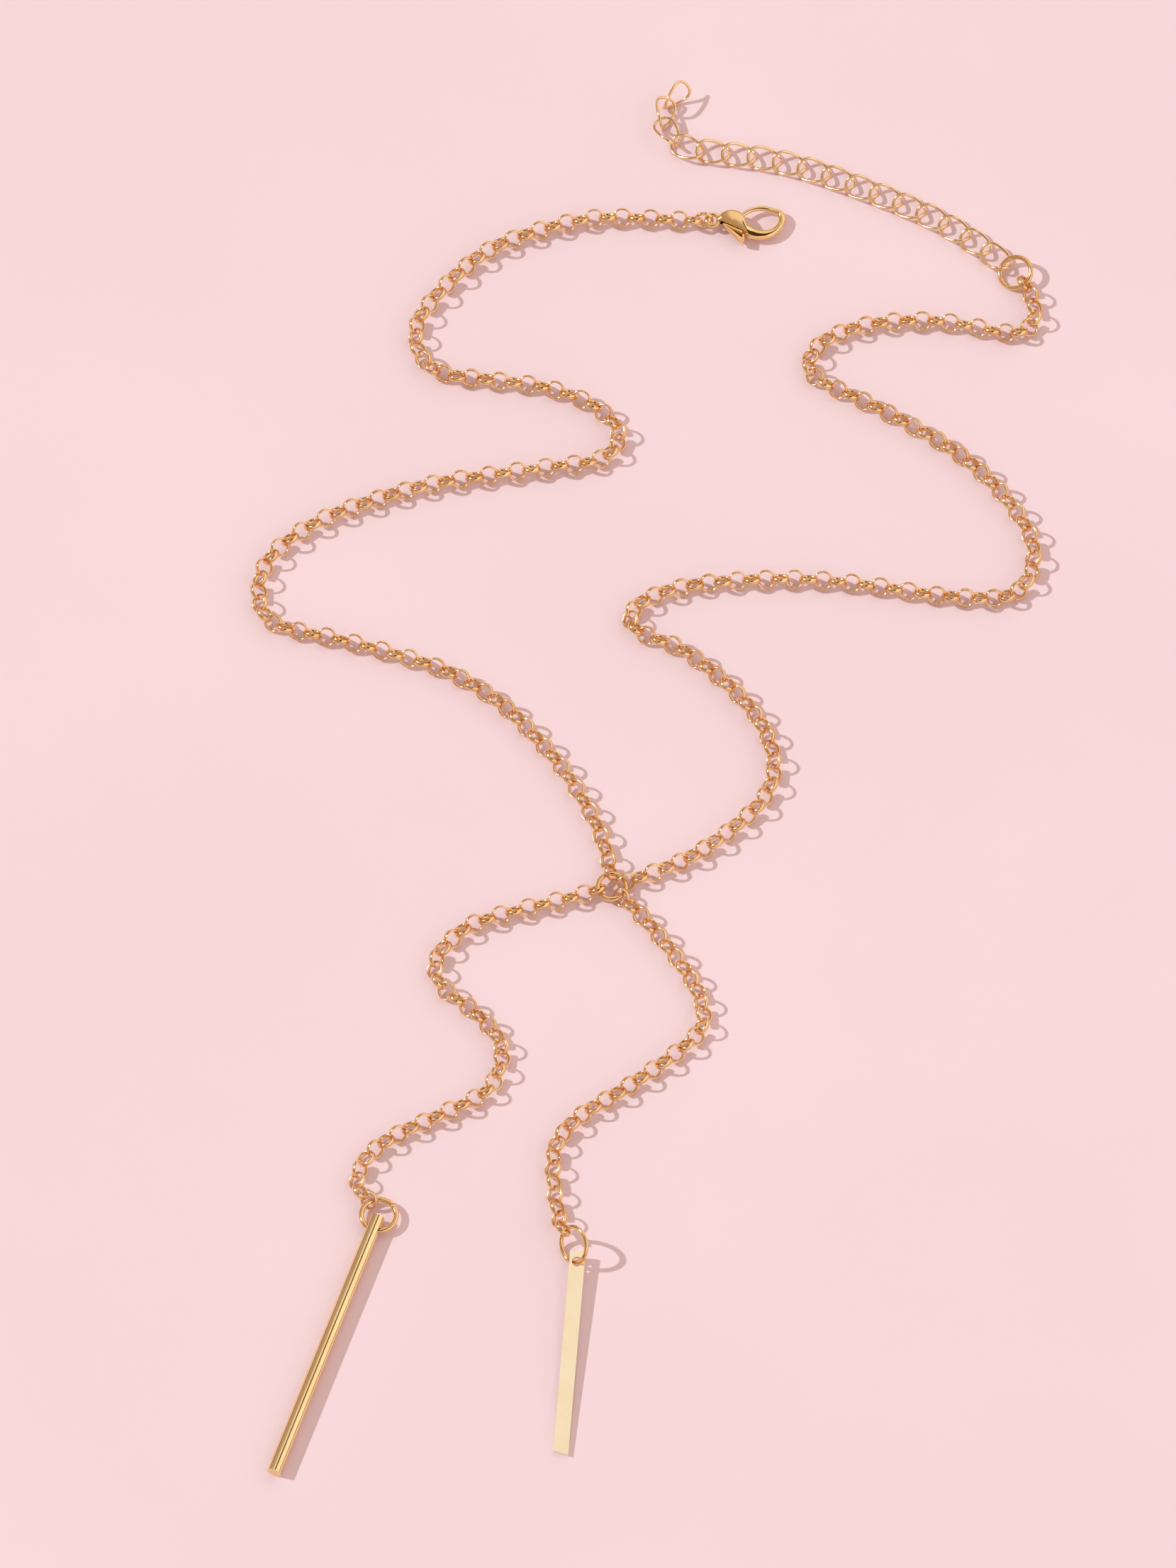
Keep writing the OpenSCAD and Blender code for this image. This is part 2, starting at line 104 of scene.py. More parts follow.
# where the rings and the clasp are
MIDDLE_R = (MIDDLE_D - MIDDLE_WIRE) / 2
MIDDLE_C = (-5.8, -18.1, CHAIN_Z)
EXTENDER_R = (EXTENDER_D - EXTENDER_WIRE) / 2
EXTENDER_C = (49.95, 76.1)
EXTENDER_LEAN, EXTENDER_LEAN_AT = 20, 35
EXTENDER_Z = EXTENDER_R * math.sin(math.radians(EXTENDER_LEAN)) + EXTENDER_WIRE / 2
CURB_HOOK_AT, CURB_SEAT = 138, 1.44
HOOKED_Z = 0.1
CURB_R = ((CURB_L - CURB_WIRE) / 2, (CURB_W - CURB_WIRE) / 2)
CURB_PITCH = CURB_L - 2 * CURB_WIRE - CURB_SLACK
CURB_Z = CURB_RISE + CURB_WIRE / 2 + LAY

ROD_RING_R = (ROD_RING_D - ROD_RING_WIRE) / 2
ROD_RING_C = Vector((-37.52, -67.62, ROD_D / 2))
ROD_HOOK_AT = 121

STRIP_TOP, STRIP_AT = (-10.45, -73.4), 85.5
STRIP_RING_R = (STRIP_RING_D - STRIP_RING_WIRE) / 2
STRIP_RING_LEAN, STRIP_RING_AT, STRIP_RING_PASS = 55, -61, 29
STRIP_HOOK = (-1.46, 2.57, 0.85)

CLASP_C, CLASP_AT, CLASP_TILT = (8.15, 84.1), -3, 3
EYE_D, EYE_WIRE = 2.3, 0.56
EYE_R = (EYE_D - EYE_WIRE) / 2
CLASP_RING_R = (CLASP_RING_D - CLASP_RING_WIRE) / 2
CLASP_RING_ROLL = 65
CLASP_RING_Z = CLASP_RING_R * math.sin(math.radians(CLASP_RING_ROLL)) + CLASP_RING_WIRE / 2 + LAY
RING_SEAT, FIRST_SEAT = 0.3, 0.5
CLASP_RING_X = -EYE_R - CLASP_RING_R + EYE_WIRE / 2 + CLASP_RING_WIRE / 2 + RING_SEAT
LEFT_FROM = (CLASP_C[0] + CLASP_RING_X - CLASP_RING_R - (LINK_D / 2 - BAND_T) + CLASP_RING_WIRE / 2
             + FIRST_SEAT, CLASP_C[1], 0)


def strip_ring_frame():
    """Centre of the strip's ring, worked out from the strip's hole as in the source."""
    at, lean, past = (math.radians(v) for v in (STRIP_RING_AT, STRIP_RING_LEAN, STRIP_RING_PASS))
    across = Vector((math.cos(at), math.sin(at), 0))
    up = Vector((-math.sin(at) * math.cos(lean), math.cos(at) * math.cos(lean), math.sin(lean)))
    top = STRIP_RING_R * math.sin(lean) + STRIP_RING_WIRE / 2
    hole = Vector(polar(STRIP_TOP, -STRIP_HOLE_IN, STRIP_AT, top - STRIP_RING_R * math.sin(past) * up.z))
    return hole - STRIP_RING_R * (math.cos(past) * across - math.sin(past) * up)


STRIP_RING_C = strip_ring_frame()


def on_middle(angle):
    """A chain's first point, at the middle ring."""
    return polar(MIDDLE_C, MIDDLE_R + END_SEAT, angle, 0)


# the chains' routes (x, y and height above the chain's own)
LEFT_ROUTE = [LEFT_FROM, (-2.5, 84.5, 0), (-8, 84.5, 0), (-14.5, 83, 0), (-21, 80.5, 0),
              (-25, 77.8, 0), (-29, 73.7, 0), (-32.3, 69, 0), (-32.7, 65, 0), (-31.3, 62, 0),
              (-28.5, 60.3, 0), (-23, 59.5, 0), (-15.5, 58.4, 0), (-9.5, 56.2, 0), (-6.2, 53.6, 0),
              (-4.8, 51.2, 0), (-5.5, 48.9, 0), (-8, 47, 0), (-14.5, 46, 0), (-23, 44.7, 0),
              (-30.5, 43.4, 0), (-38, 41.1, 0), (-45.5, 38, 0), (-51, 34.1, 0), (-53.6, 30.5, 0),
              (-54.3, 26.5, 0), (-53.3, 23.2, 0), (-50.5, 21.3, 0), (-43.5, 19.6, 0), (-36, 17.4, 0),
              (-28.5, 14.7, 0), (-21.3, 10, 0), (-15.9, 4.2, 0), (-11.5, -1.8, 0), (-7.6, -9.5, 0),
              on_middle(92)]
RIGHT_ROUTE = [polar(EXTENDER_C, EXTENDER_R, -56, HOOKED_Z), (52.1, 72.4, 0), (52.6, 69.6, 0),
               (51.6, 67.4, 0), (48.8, 66.7, 0), (42.5, 68, 0), (38, 68.6, 0), (31.5, 68.3, 0),
               (26.5, 67, 0), (22.8, 64.8, 0), (21.4, 61.6, 0), (23.2, 59.2, 0), (28.5, 56.4, 0),
               (35, 52.7, 0), (41.5, 48.4, 0), (46.8, 43.3, 0), (50.8, 37.5, 0), (52.2, 33.3, 0),
               (51.3, 28.7, 0), (47.8, 26, 0), (39, 26.3, 0), (30.5, 27.7, 0), (22, 28.7, 0),
               (13.5, 28.7, 0), (5, 27.8, 0), (-0.8, 25.8, 0), (-3.2, 23.2, 0), (-1.8, 20.6, 0),
               (4, 17.9, 0), (10.5, 12.2, 0), (14.6, 6.8, 0), (16.4, 1, 0), (15.5, -3.7, 0),
               (12.3, -7.8, 0), (5, -13.6, 0), on_middle(18)]
TAIL_LEFT_ROUTE = [on_middle(193), (-11, -19.7, 0), (-18.5, -21.7, 0), (-24.5, -23.7, 0),
                   (-27.6, -26.1, 0), (-29.7, -29, 0), (-29.7, -31.8, 0), (-28, -34.3, 0),
                   (-24.5, -37.2, 0), (-21.2, -41.3, 0), (-21, -45, 0), (-23, -49.1, 0),
                   (-28.5, -52.3, 0), (-35, -55.6, 0), (-38.6, -58.4, 0), (-40.3, -61.5, 0),
                   (-40.2, -63.9, 0), polar(ROD_RING_C, ROD_RING_R + END_SEAT, ROD_HOOK_AT, 0)]
TAIL_RIGHT_ROUTE = [on_middle(-51), (-1, -23.5, 0), (3.7, -30, 0), (6.2, -34.9, 0), (6.4, -39.5, 0),
                    (2.7, -43.5, 0), (-4.5, -49, 0), (-10.2, -52.9, 0), (-13.3, -57, 0),
                    (-13.8, -61.5, 0), (-13.1, -67.4, 0.05),
                    (STRIP_RING_C[0] + STRIP_HOOK[0], STRIP_RING_C[1] + STRIP_HOOK[1], STRIP_HOOK[2])]
CURB_ROUTE = [polar(EXTENDER_C, EXTENDER_R + CURB_SEAT, CURB_HOOK_AT, HOOKED_Z), (44.5, 80.8, 0),
              (40, 83.9, 0), (35.3, 86.4, 0), (30.1, 88.8, 0), (21.7, 92.2, 0), (15.5, 93.9, 0),
              (8.3, 95, 0)]
# the extender's last links, which curl up: middle, then direction, rise and roll
CURL = [(4.7, 95.6, 0.81, 154, -1, 0), (2, 97.9, 1.18, 115, -5, 26), (1.5, 100.6, 1.68, 80, 1, 52),
        (3, 103, 1.93, 44, 9.5, 74.5)]


def blend(a, b, c, d, t):
    """The point at part t between b and c on a smooth curve through all four."""
    return [0.5 * (2 * q + (r - p) * t + (2 * p - 5 * q + 4 * r - s) * t * t
                   + (3 * q - p - 3 * r + s) * t ** 3)
            for p, q, r, s in zip(a, b, c, d)]


def smooth_list(rows, per):
    """The rows with more between them, along smooth lines."""
    last = len(rows) - 1
    more = [blend(rows[max(i - 1, 0)], rows[i], rows[i + 1], rows[min(i + 2, last)], k / per)
            for i in range(last) for k in range(per)]
    return more + [rows[-1]]


class Route:
    """A smooth line through a route's points, with its running length."""

    def __init__(self, points):
        self.line = [Vector(p) for p in smooth_list(points, ROUTE_PER)]
        self.run = [0.0]
        for a, b in zip(self.line, self.line[1:]):
            self.run.append(self.run[-1] + (b - a).length)
        self.total = self.run[-1]

    def at(self, s):
        """The point at the running length s."""
        return lookup(s, self.run, self.line)

    def squeeze(self, s):
        """How much closer the links lie at s than on a straight run."""
        bend = self.at(s + BEND_SPAN) + self.at(s - BEND_SPAN) - 2 * self.at(s)
        return 1 / (1 - BEND_SQUEEZE * bend.length)

    def stations(self, pitch):
        """The links' places along the line, closer where it bends."""
        m = math.ceil(self.total / STRIDE)
        h = self.total / m
        weights = [self.squeeze(min(max(i * h, BEND_SPAN), self.total - BEND_SPAN)) for i in range(m + 1)]
        sums = [0.0]
        for a, b in zip(weights, weights[1:]):
            sums.append(sums[-1] + (a + b) / 2 * h)
        n = round(sums[-1] / pitch)
        places = [i * h for i in range(m + 1)]
        return [lookup(sums[-1] * i / n, sums, places) for i in range(n + 1)]

    def placed(self, s, z, roll):
        """The frame of a link at s, turned to the line's direction and rolled about it."""
        d = self.at(s + AIM) - self.at(s - AIM)
        rise = math.degrees(math.atan2(d.z, math.hypot(d.x, d.y)))
        heading = math.degrees(math.atan2(d.y, d.x))
        return (Matrix.Translation(self.at(s) + Vector((0, 0, z))) @ turn("Z", heading) @ turn("Y", -rise)
                @ turn("X", roll))


def lookup(x, xs, values):
    """The value at x in a rising table, kept at its ends."""
    if x <= xs[0]:
        return values[0]
    if x >= xs[-1]:
        return values[-1]
    low, high = 0, len(xs) - 1
    while high - low > 1:
        mid = (low + high) // 2
        if xs[mid] <= x:
            low = mid
        else:
            high = mid
    part = (x - xs[low]) / (xs[high] - xs[low])
    return values[low] + (values[high] - values[low]) * part


# Meshes

# how fine the links and rings are: steps round them and sides of their section
LINK_STEPS, LINK_SIDES = 26, 8
CURB_STEPS, CURB_SIDES = 56, 12
RING_STEPS, RING_SIDES = 72, 20
# a jump ring's cut, in degrees
SEAM = 0.8


class Shell:
    """Points and faces in millimetres that become one mesh in metres."""

    def __init__(self):
        self.points = []
        self.faces = []

    def add(self, points, faces, place):
        start = len(self.points)
        self.points += [place @ Vector(p) for p in points]
        self.faces += [[start + i for i in face] for face in faces]

    def object(self, name, material):
        shift = Vector((CENTRE[0], CENTRE[1], 0))
        mesh = bpy.data.meshes.new(name)
        mesh.from_pydata([(p - shift) * MM for p in self.points], [], self.faces)
        mesh.polygons.foreach_set("use_smooth", [True] * len(mesh.polygons))
        if material:
            mesh.materials.append(material)
        mesh.update()
        obj = bpy.data.objects.new(name, mesh)
        bpy.context.scene.collection.objects.link(obj)
        return obj


def oval(width, height, sides):
    """Section points: across (outwards) and along the ring's axis."""
    return [(width / 2 * math.cos(2 * math.pi * k / sides), height / 2 * math.sin(2 * math.pi * k / sides))
            for k in range(sides)]


def loop_faces(steps, sides, closed=True):
    """Faces between rings of points, round and round."""
    faces = []
    for i in range(steps if closed else steps - 1):
        for k in range(sides):
            a, b, n = i * sides, (i + 1) % steps * sides, (k + 1) % sides
            faces.append((a + k, b + k, b + n, a + n))
    return faces


def ring_points(r, section, steps, start=0.0, sweep=360.0):
    """A section turned about Z; sweep under 360 leaves the ends open."""
    count = steps if sweep == 360 else steps + 1
    points = []
    for i in range(count):
        a = math.radians(start + sweep * i / steps)
        points += [((r + x) * math.cos(a), (r + x) * math.sin(a), z) for x, z in section]
    return points


def closed_ring(shell, r, section, steps, place):
    shell.add(ring_points(r, section, steps), loop_faces(steps, len(section)), place)


def jump_ring(name, r, wire, place, seam_at, material):
    """A ring of round wire with the fine cut where it was closed."""
    points = ring_points(r, oval(wire, wire, RING_SIDES), RING_STEPS, seam_at + SEAM / 2, 360 - SEAM)
    faces = loop_faces(RING_STEPS + 1, RING_SIDES, closed=False)
    last = RING_STEPS * RING_SIDES
    faces.append(tuple(range(RING_SIDES)))
    faces.append(tuple(last + k for k in reversed(range(RING_SIDES))))
    shell = Shell()
    shell.add(points, faces, place)
    return shell.object(name, material)


def chain(name, points, first, material):
    """The real links of a chain, by the same rules as the source's."""
    route = Route(points)
    places = route.stations(LINK_PITCH)
    wave = route.total / round(route.total / TWIST_WAVE)
    section = oval(BAND_T, BAND_W, LINK_SIDES)
    shell = Shell()
    for i, s in enumerate(places):
        side = 1 if (i + first) % 2 == 0 else -1
        more = END_TILT if i in (0, len(places) - 1) else 0
        roll = side * (LINK_TILT + more) + TWIST * math.sin(math.radians(360 * s / wave))
        closed_ring(shell, LINK_R, section, LINK_STEPS, route.placed(s, CHAIN_Z, roll))
    return shell.object(name, material)


def curb_link(shell, place):
    """An oval link twisted so that it lies flat in its neighbours."""
    points = []
    line = []
    for i in range(CURB_STEPS):
        a = 2 * math.pi * i / CURB_STEPS
        x = math.copysign(abs(math.cos(a)) ** CURB_SQUARE, math.cos(a))
        line.append(Vector((CURB_R[0] * x, CURB_R[1] * math.sin(a), -CURB_RISE * math.sin(2 * a))))
    for i, p in enumerate(line):
        ahead = (line[(i + 1) % CURB_STEPS] - line[i - 1]).normalized()
        side = ahead.cross(Vector((0, 0, 1))).normalized()
        up = side.cross(ahead)
        for x, z in oval(CURB_WIRE, CURB_WIRE, CURB_SIDES):
            points.append(p + side * x + up * z)
    shell.add(points, loop_faces(CURB_STEPS, CURB_SIDES), place)


def extender(name, material):
    """The twisted links along their route, and the few that curl up at its end."""
    route = Route(CURB_ROUTE)
    n = round(route.total / CURB_PITCH)
    shell = Shell()
    for i in range(n + 1):
        curb_link(shell, route.placed(route.total * i / n, CURB_Z, 0))
    for x, y, z, heading, rise, roll in CURL:
        place = Matrix.Translation((x, y, z)) @ turn("Z", heading) @ turn("Y", -rise) @ turn("X", roll)
        curb_link(shell, place)
    return shell.object(name, material)


# The clasp lies in its own frame: X from its eye along it, Y up the plan, Z through it.
CLASP_Z = 1.3756
PIVOT = (3.8953, 0.35)
# body and hook in one, from the eye to the tip: inner and outer edge (x, y), half height and roundness
HOOK_FORM = [(0.5, 0.32, 0.5, -0.3, 0.26, 1), (0.8, 0.7, 0.82, -0.36, 0.5, 0.9),
             (1.3, 1.22, 1.32, -0.42, 0.8, 0.75), (2.2, 1.62, 2.15, -0.66, 1.0, 0.66),
             (3.05, 1.62, 2.95, -0.98, 1.08, 0.66), (3.75, 1.36, 3.7, -1.32, 1.12, 0.68),
             (4.2, 0.85, 4.25, -1.58, 1.1, 0.76), (4.45, 0.3, 4.62, -1.92, 1.0, 0.86),
             (4.85, -0.26, 4.98, -2.34, 0.84, 0.94), (5.6, -0.76, 5.65, -2.5, 0.68, 1),
             (6.69, -1.06, 6.69, -2.5, 0.57, 1), (7.8, -0.94, 7.95, -2.18, 0.53, 1),
             (8.6, -0.42, 9.07, -1.4, 0.51, 1), (9.02, 0.26, 9.86, -0.16, 0.5, 1),
             (9.1, 0.9, 10.12, 0.88, 0.5, 1), (8.98, 1.35, 9.8, 1.78, 0.47, 1),
             (8.82, 1.58, 9.25, 2.26, 0.43, 1), (8.7, 1.66, 8.75, 2.42, 0.4, 1),
             (8.6, 1.7, 8.34, 2.41, 0.38, 1)]
# sprung gate: middle (x, y) and half thickness, from its root in the body to its end at the hook's tip
GATE_FORM = [(3.95, 0.85, 0.29), (4.25, 1.2, 0.29), (4.6, 1.52, 0.3), (5.1, 1.86, 0.31),
             (5.7, 2.12, 0.33), (6.6, 2.33, 0.35), (7.5, 2.3, 0.37), (8.05, 2.17, 0.38),
             (8.42, 2.03, 0.38)]
# over so many sections the gate's end turns to face the hook's tip
GATE_TURN = 7
# the slots for the lever and the gate (x from, x to, y from, y to) and half their width
BODY_SLOT, BODY_SLOT_HALF = (0.9, 4.6, -3, 0.75), 0.46
GATE_SLOT, GATE_SLOT_HALF = (3.2, 5.2, -0.45, 3), 0.39
# outlines of the lever: its web in the slot, the wedge's rim and bar below the body, and the tab
WEB = [(1.9, -0.6), (2.3, -0.5), (2.9, -0.2), (3.3, 0.3), (3.75, 0.95), (4.15, 1.0), (4.4, 0.6),
       (4.35, -0.3), (4.3, -1.2), (4.1, -1.45), (3.6, -0.9), (2.6, -0.72)]
RIM = [(1.42, -0.5), (2.0, -0.6), (2.9, -1.0), (4.22, -1.5), (4.22, -1.9), (3.7, -1.66), (2.95, -1.32),
       (2.2, -0.98), (1.6, -0.72)]
BAR = [(1.4, -0.52), (1.6, -0.66), (2.1, -0.98), (2.7, -1.38), (3.5, -1.98), (4.22, -2.56),
       (4.22, -3.22), (3.9, -2.95), (3.0, -2.17), (2.2, -1.47), (1.62, -1.0), (1.42, -0.74)]
TAB = [(4.2, -2.06), (4.5, -2.06), (4.5, -3.26), (4.4, -3.36), (4.2, -3.26)]
# the wedge's sunken floor: its corners, and the height of its underside
DISH = [(4.22, -2.62, -0.27), (4.22, -1.85, -0.08), (1.6, -0.7, 0.34)]
DISH_LOW = -0.36
# half thicknesses, and how far edges are softened
WEB_HALF = 0.3
LEVER_HALF = 0.38
TAB_HALF = 0.6
SOFT_EDGE = 0.06
# how fine the clasp is: sections between two rows and sides of a section, then the eye's steps and sides
HOOK_PER, HOOK_SIDES = 8, 48
GATE_PER, GATE_SIDES = 6, 24
EYE_STEPS, EYE_SIDES = 56, 20
# an edge sharper than this stays an edge
SHARP = 40


def loft(shell, sections, place):
    """Closed skin over equal sections, one after another."""
    sides = len(sections[0])
    points = [p for section in sections for p in section]
    faces = [tuple(reversed(f)) for f in loop_faces(len(sections), sides, closed=False)]
    faces.append(tuple(reversed(range(sides))))
    faces.append(tuple((len(sections) - 1) * sides + k for k in range(sides)))
    shell.add(points, faces, place)


def soft_sine(angle, power):
    """A sine with a flatter top where the power is under one."""
    value = math.sin(angle)
    return math.copysign(abs(value) ** power, value)


def section(middle, reach, half, sides, roundness=1):
    """One section: an oval over the reach in the plan and half a height up and down."""
    angles = [2 * math.pi * k / sides for k in range(sides)]
    return [middle + reach * math.cos(a) + Vector((0, 0, half * soft_sine(a, roundness))) for a in angles]


def hook_sections():
    sections = []
    for x1, y1, x2, y2, half, roundness in smooth_list(HOOK_FORM, HOOK_PER):
        middle = Vector(((x1 + x2) / 2, (y1 + y2) / 2, 0))
        reach = Vector(((x1 - x2) / 2, (y1 - y2) / 2, 0))
        sections.append(section(middle, reach, half, HOOK_SIDES, roundness))
    return sections


def gate_sections():
    rows = smooth_list(GATE_FORM, GATE_PER)
    sections = []
    last = len(rows) - 1
    for i, (x, y, half) in enumerate(rows):
        ahead = (Vector(rows[min(i + 1, last)][:2]) - Vector(rows[max(i - 1, 0)][:2])).normalized()
        out = Vector((x - PIVOT[0], y - PIVOT[1])).normalized()
        ahead = ahead.lerp(out, max(0, 1 - (last - i) / GATE_TURN))
        side = Vector((-ahead.y, ahead.x, 0)).normalized()
        sections.append(section(Vector((x, y, 0)), side * half, half, GATE_SIDES))
    return sections


def plate(shell, outline, half, place):
    """A flat piece of the outline with softened edges."""
    count = len(outline)
    area = sum(a[0] * b[1] - b[0] * a[1] for a, b in zip(outline, outline[1:] + outline[:1]))
    if area < 0:
        outline = outline[::-1]
    inset = []
    for i, point in enumerate(outline):
        here = Vector(point)
        before = (here - Vector(outline[i - 1])).normalized()
        after = (Vector(outline[(i + 1) % count]) - here).normalized()
        along = before + after
        inset.append(here + Vector((-along.y, along.x)).normalized() * SOFT_EDGE)
    rows = [(inset, -half), (outline, SOFT_EDGE - half), (outline, half - SOFT_EDGE), (inset, half)]
    loft(shell, [[(p[0], p[1], z) for p in row] for row, z in rows], place)


def slot_block(x1, x2, y1, y2, half, place):
    """The space of a slot, to be cut from the clasp's body."""
    shell = Shell()
    corners = [(x1, y1), (x2, y1), (x2, y2), (x1, y2)]
    loft(shell, [[(x, y, z) for x, y in corners] for z in (-half, half)], place)
    return shell.object("slot", None)


def cut(obj, cutters):
    """Takes the cutters' space out of the object for good."""
    for cutter in cutters:
        change = obj.modifiers.new("cut", "BOOLEAN")
        change.operation = "DIFFERENCE"
        change.solver = "EXACT"
        change.object = cutter
    shaped = obj.evaluated_get(bpy.context.evaluated_depsgraph_get())
    mesh = bpy.data.meshes.new_from_object(shaped)
    obj.modifiers.clear()
    obj.data = mesh
    for cutter in cutters:
        bpy.data.objects.remove(cutter)


def keep_edges(obj):
    """Smooth faces that keep the sharp edges."""
    obj.data.polygons.foreach_set("use_smooth", [True] * len(obj.data.polygons))
    obj.data.set_sharp_from_angle(angle=math.radians(SHARP))


CLASP_PLACE = Matrix.Translation((*CLASP_C, CLASP_Z)) @ turn("Z", CLASP_AT) @ turn("Y", CLASP_TILT)


def clasp_body(material):
    """Body and hook in one with their slots, and the eye."""
    shell = Shell()
    loft(shell, hook_sections(), CLASP_PLACE)
    obj = shell.object("clasp_hook", material)
    cut(obj, [slot_block(*BODY_SLOT, BODY_SLOT_HALF, CLASP_PLACE),
              slot_block(*GATE_SLOT, GATE_SLOT_HALF, CLASP_PLACE)])
    eye = Shell()
    closed_ring(eye, EYE_R, oval(EYE_WIRE, EYE_WIRE, EYE_SIDES), EYE_STEPS, CLASP_PLACE)
    ring = eye.object("eye", material)
    both = [obj, ring]
    with bpy.context.temp_override(active_object=obj, object=obj, selected_editable_objects=both):
        bpy.ops.object.join()
    keep_edges(obj)
    return obj


def clasp_lever(material):
    """The sprung gate, the web on its pin, and the wedge with its tab."""
    shell = Shell()
    loft(shell, gate_sections(), CLASP_PLACE)
    plate(shell, WEB, WEB_HALF, CLASP_PLACE)
    plate(shell, RIM, LEVER_HALF, CLASP_PLACE)
    loft(shell, [[(x, y, DISH_LOW) for x, y, z in DISH], DISH], CLASP_PLACE)
    plate(shell, BAR, LEVER_HALF, CLASP_PLACE)
    plate(shell, TAB, TAB_HALF, CLASP_PLACE)
    obj = shell.object("clasp_gate", material)
    keep_edges(obj)
    return obj


# Materials

# the range that most of a noise's values are in
NOISE_LOW, NOISE_HIGH = 0.3, 0.7
# gold: noise scales and details of its tone, its polish and its unevenness, and where its two tones start
TONE, POLISH, WAVE = (260, 3), (1500, 4), (900, 2)
TONE_FROM, TONE_TO = 0.35, 0.65
WAVE_STRENGTH = 0.5


def new_material(name):
    material = bpy.data.materials.new(name)
    material.use_nodes = True
    tree = material.node_tree
    shader = tree.nodes["Principled BSDF"]
    return material, tree, shader


def noise(tree, scale, detail):
    """Noise in object coordinates, so that it stays on the piece; scale is per metre."""
    place = tree.nodes.new("ShaderNodeTexCoord")
    texture = tree.nodes.new("ShaderNodeTexNoise")
    texture.inputs["Scale"].default_value = scale
    texture.inputs["Detail"].default_value = detail
    tree.links.new(place.outputs["Object"], texture.inputs["Vector"])
    return texture.outputs["Fac"]


def ramp(tree, value, stops):
    """Colours by value, from (position, colour) stops."""
    node = tree.nodes.new("ShaderNodeValToRGB")
    while len(node.color_ramp.elements) < len(stops):
        node.color_ramp.elements.new(0.5)
    for element, (position, colour) in zip(node.color_ramp.elements, stops):
        element.position = position
        element.color = (*colour, 1)
    tree.links.new(value, node.inputs["Fac"])
    return node.outputs["Color"]


def spread(tree, value, low, high):
    """The noise's middle range spread out from low to high."""
    node = tree.nodes.new("ShaderNodeMapRange")
    node.inputs["From Min"].default_value = NOISE_LOW
    node.inputs["From Max"].default_value = NOISE_HIGH
    node.inputs["To Min"].default_value = low
    node.inputs["To Max"].default_value = high
    tree.links.new(value, node.inputs["Value"])
    return node.outputs["Result"]


def bump(tree, value, depth, strength):
    """Small unevenness of the surface; depth is in millimetres."""
    node = tree.nodes.new("ShaderNodeBump")
    node.inputs["Distance"].default_value = depth * MM
    node.inputs["Strength"].default_value = strength
    tree.links.new(value, node.inputs["Height"])
    return node.outputs["Normal"]


def gold(name, deep, light, rough, wave=0.02):
    """Polished plated brass: slight changes of colour and polish, and a soft unevenness of the surface."""
    material, tree, shader = new_material(name)
    shader.inputs["Metallic"].default_value = 1
    tone = ramp(tree, noise(tree, *TONE), [(TONE_FROM, deep), (TONE_TO, light)])
    tree.links.new(tone, shader.inputs["Base Color"])
    tree.links.new(spread(tree, noise(tree, *POLISH), *rough), shader.inputs["Roughness"])
    tree.links.new(bump(tree, noise(tree, *WAVE), wave, WAVE_STRENGTH), shader.inputs["Normal"])
    return material


CHAIN_GOLD = gold("chain_gold", (0.87, 0.54, 0.26), (0.96, 0.69, 0.39), (0.12, 0.22))
RING_GOLD = gold("ring_gold", (0.88, 0.56, 0.25), (0.95, 0.66, 0.34), (0.08, 0.16))
CLASP_GOLD = gold("clasp_gold", (0.92, 0.62, 0.28), (0.97, 0.7, 0.36), (0.07, 0.14), 0.01)
EXTENDER_GOLD = gold("extender_gold", (0.9, 0.6, 0.32), (0.96, 0.72, 0.44), (0.12, 0.2))
ROD_GOLD = gold("rod_gold", (0.93, 0.68, 0.36), (0.96, 0.74, 0.42), (0.1, 0.15), 0.006)
STRIP_GOLD = gold("strip_gold", (0.98, 0.88, 0.64), (1.0, 0.92, 0.7), (0.1, 0.15), 0.006)


def paper():
    """The plain pale surface below."""
    material, tree, shader = new_material("paper")
    tone = ramp(tree, noise(tree, 14, 5), [(0.3, (0.91, 0.7, 0.8)), (0.7, (0.94, 0.73, 0.83))])
    tree.links.new(tone, shader.inputs["Base Color"])
    shader.inputs["Roughness"].default_value = 0.75
    shader.inputs["Specular IOR Level"].default_value = 0.2
    tree.links.new(bump(tree, noise(tree, 1200, 3), 0.05, 0.2), shader.inputs["Normal"])
    return material


# Pieces on the frame

def put(obj, body, *nodes, slot="gold"):
    """Ties a piece to its body and hides the solids that it replaces; its slot is not used."""
    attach(obj, body)
    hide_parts(*nodes)
    return obj


def paint(node, material):
    """A better material on a CAD node that stays as it is."""
    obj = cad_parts[node]
    if not obj.material_slots:
        obj.data.materials.append(material)
    for s in obj.material_slots:
        s.material = material


put(chain("left_chain", LEFT_ROUTE, 0, CHAIN_GOLD), "chain", "strand_left")
put(chain("right_chain", RIGHT_ROUTE, 1, CHAIN_GOLD), "chain", "strand_right")
put(chain("left_tail", TAIL_LEFT_ROUTE, 0, CHAIN_GOLD), "chain", "tail_left")
put(chain("right_tail", TAIL_RIGHT_ROUTE, 0, CHAIN_GOLD), "chain", "tail_right")
put(extender("extender_links", EXTENDER_GOLD), "chain", "extender", slot="pale_gold")

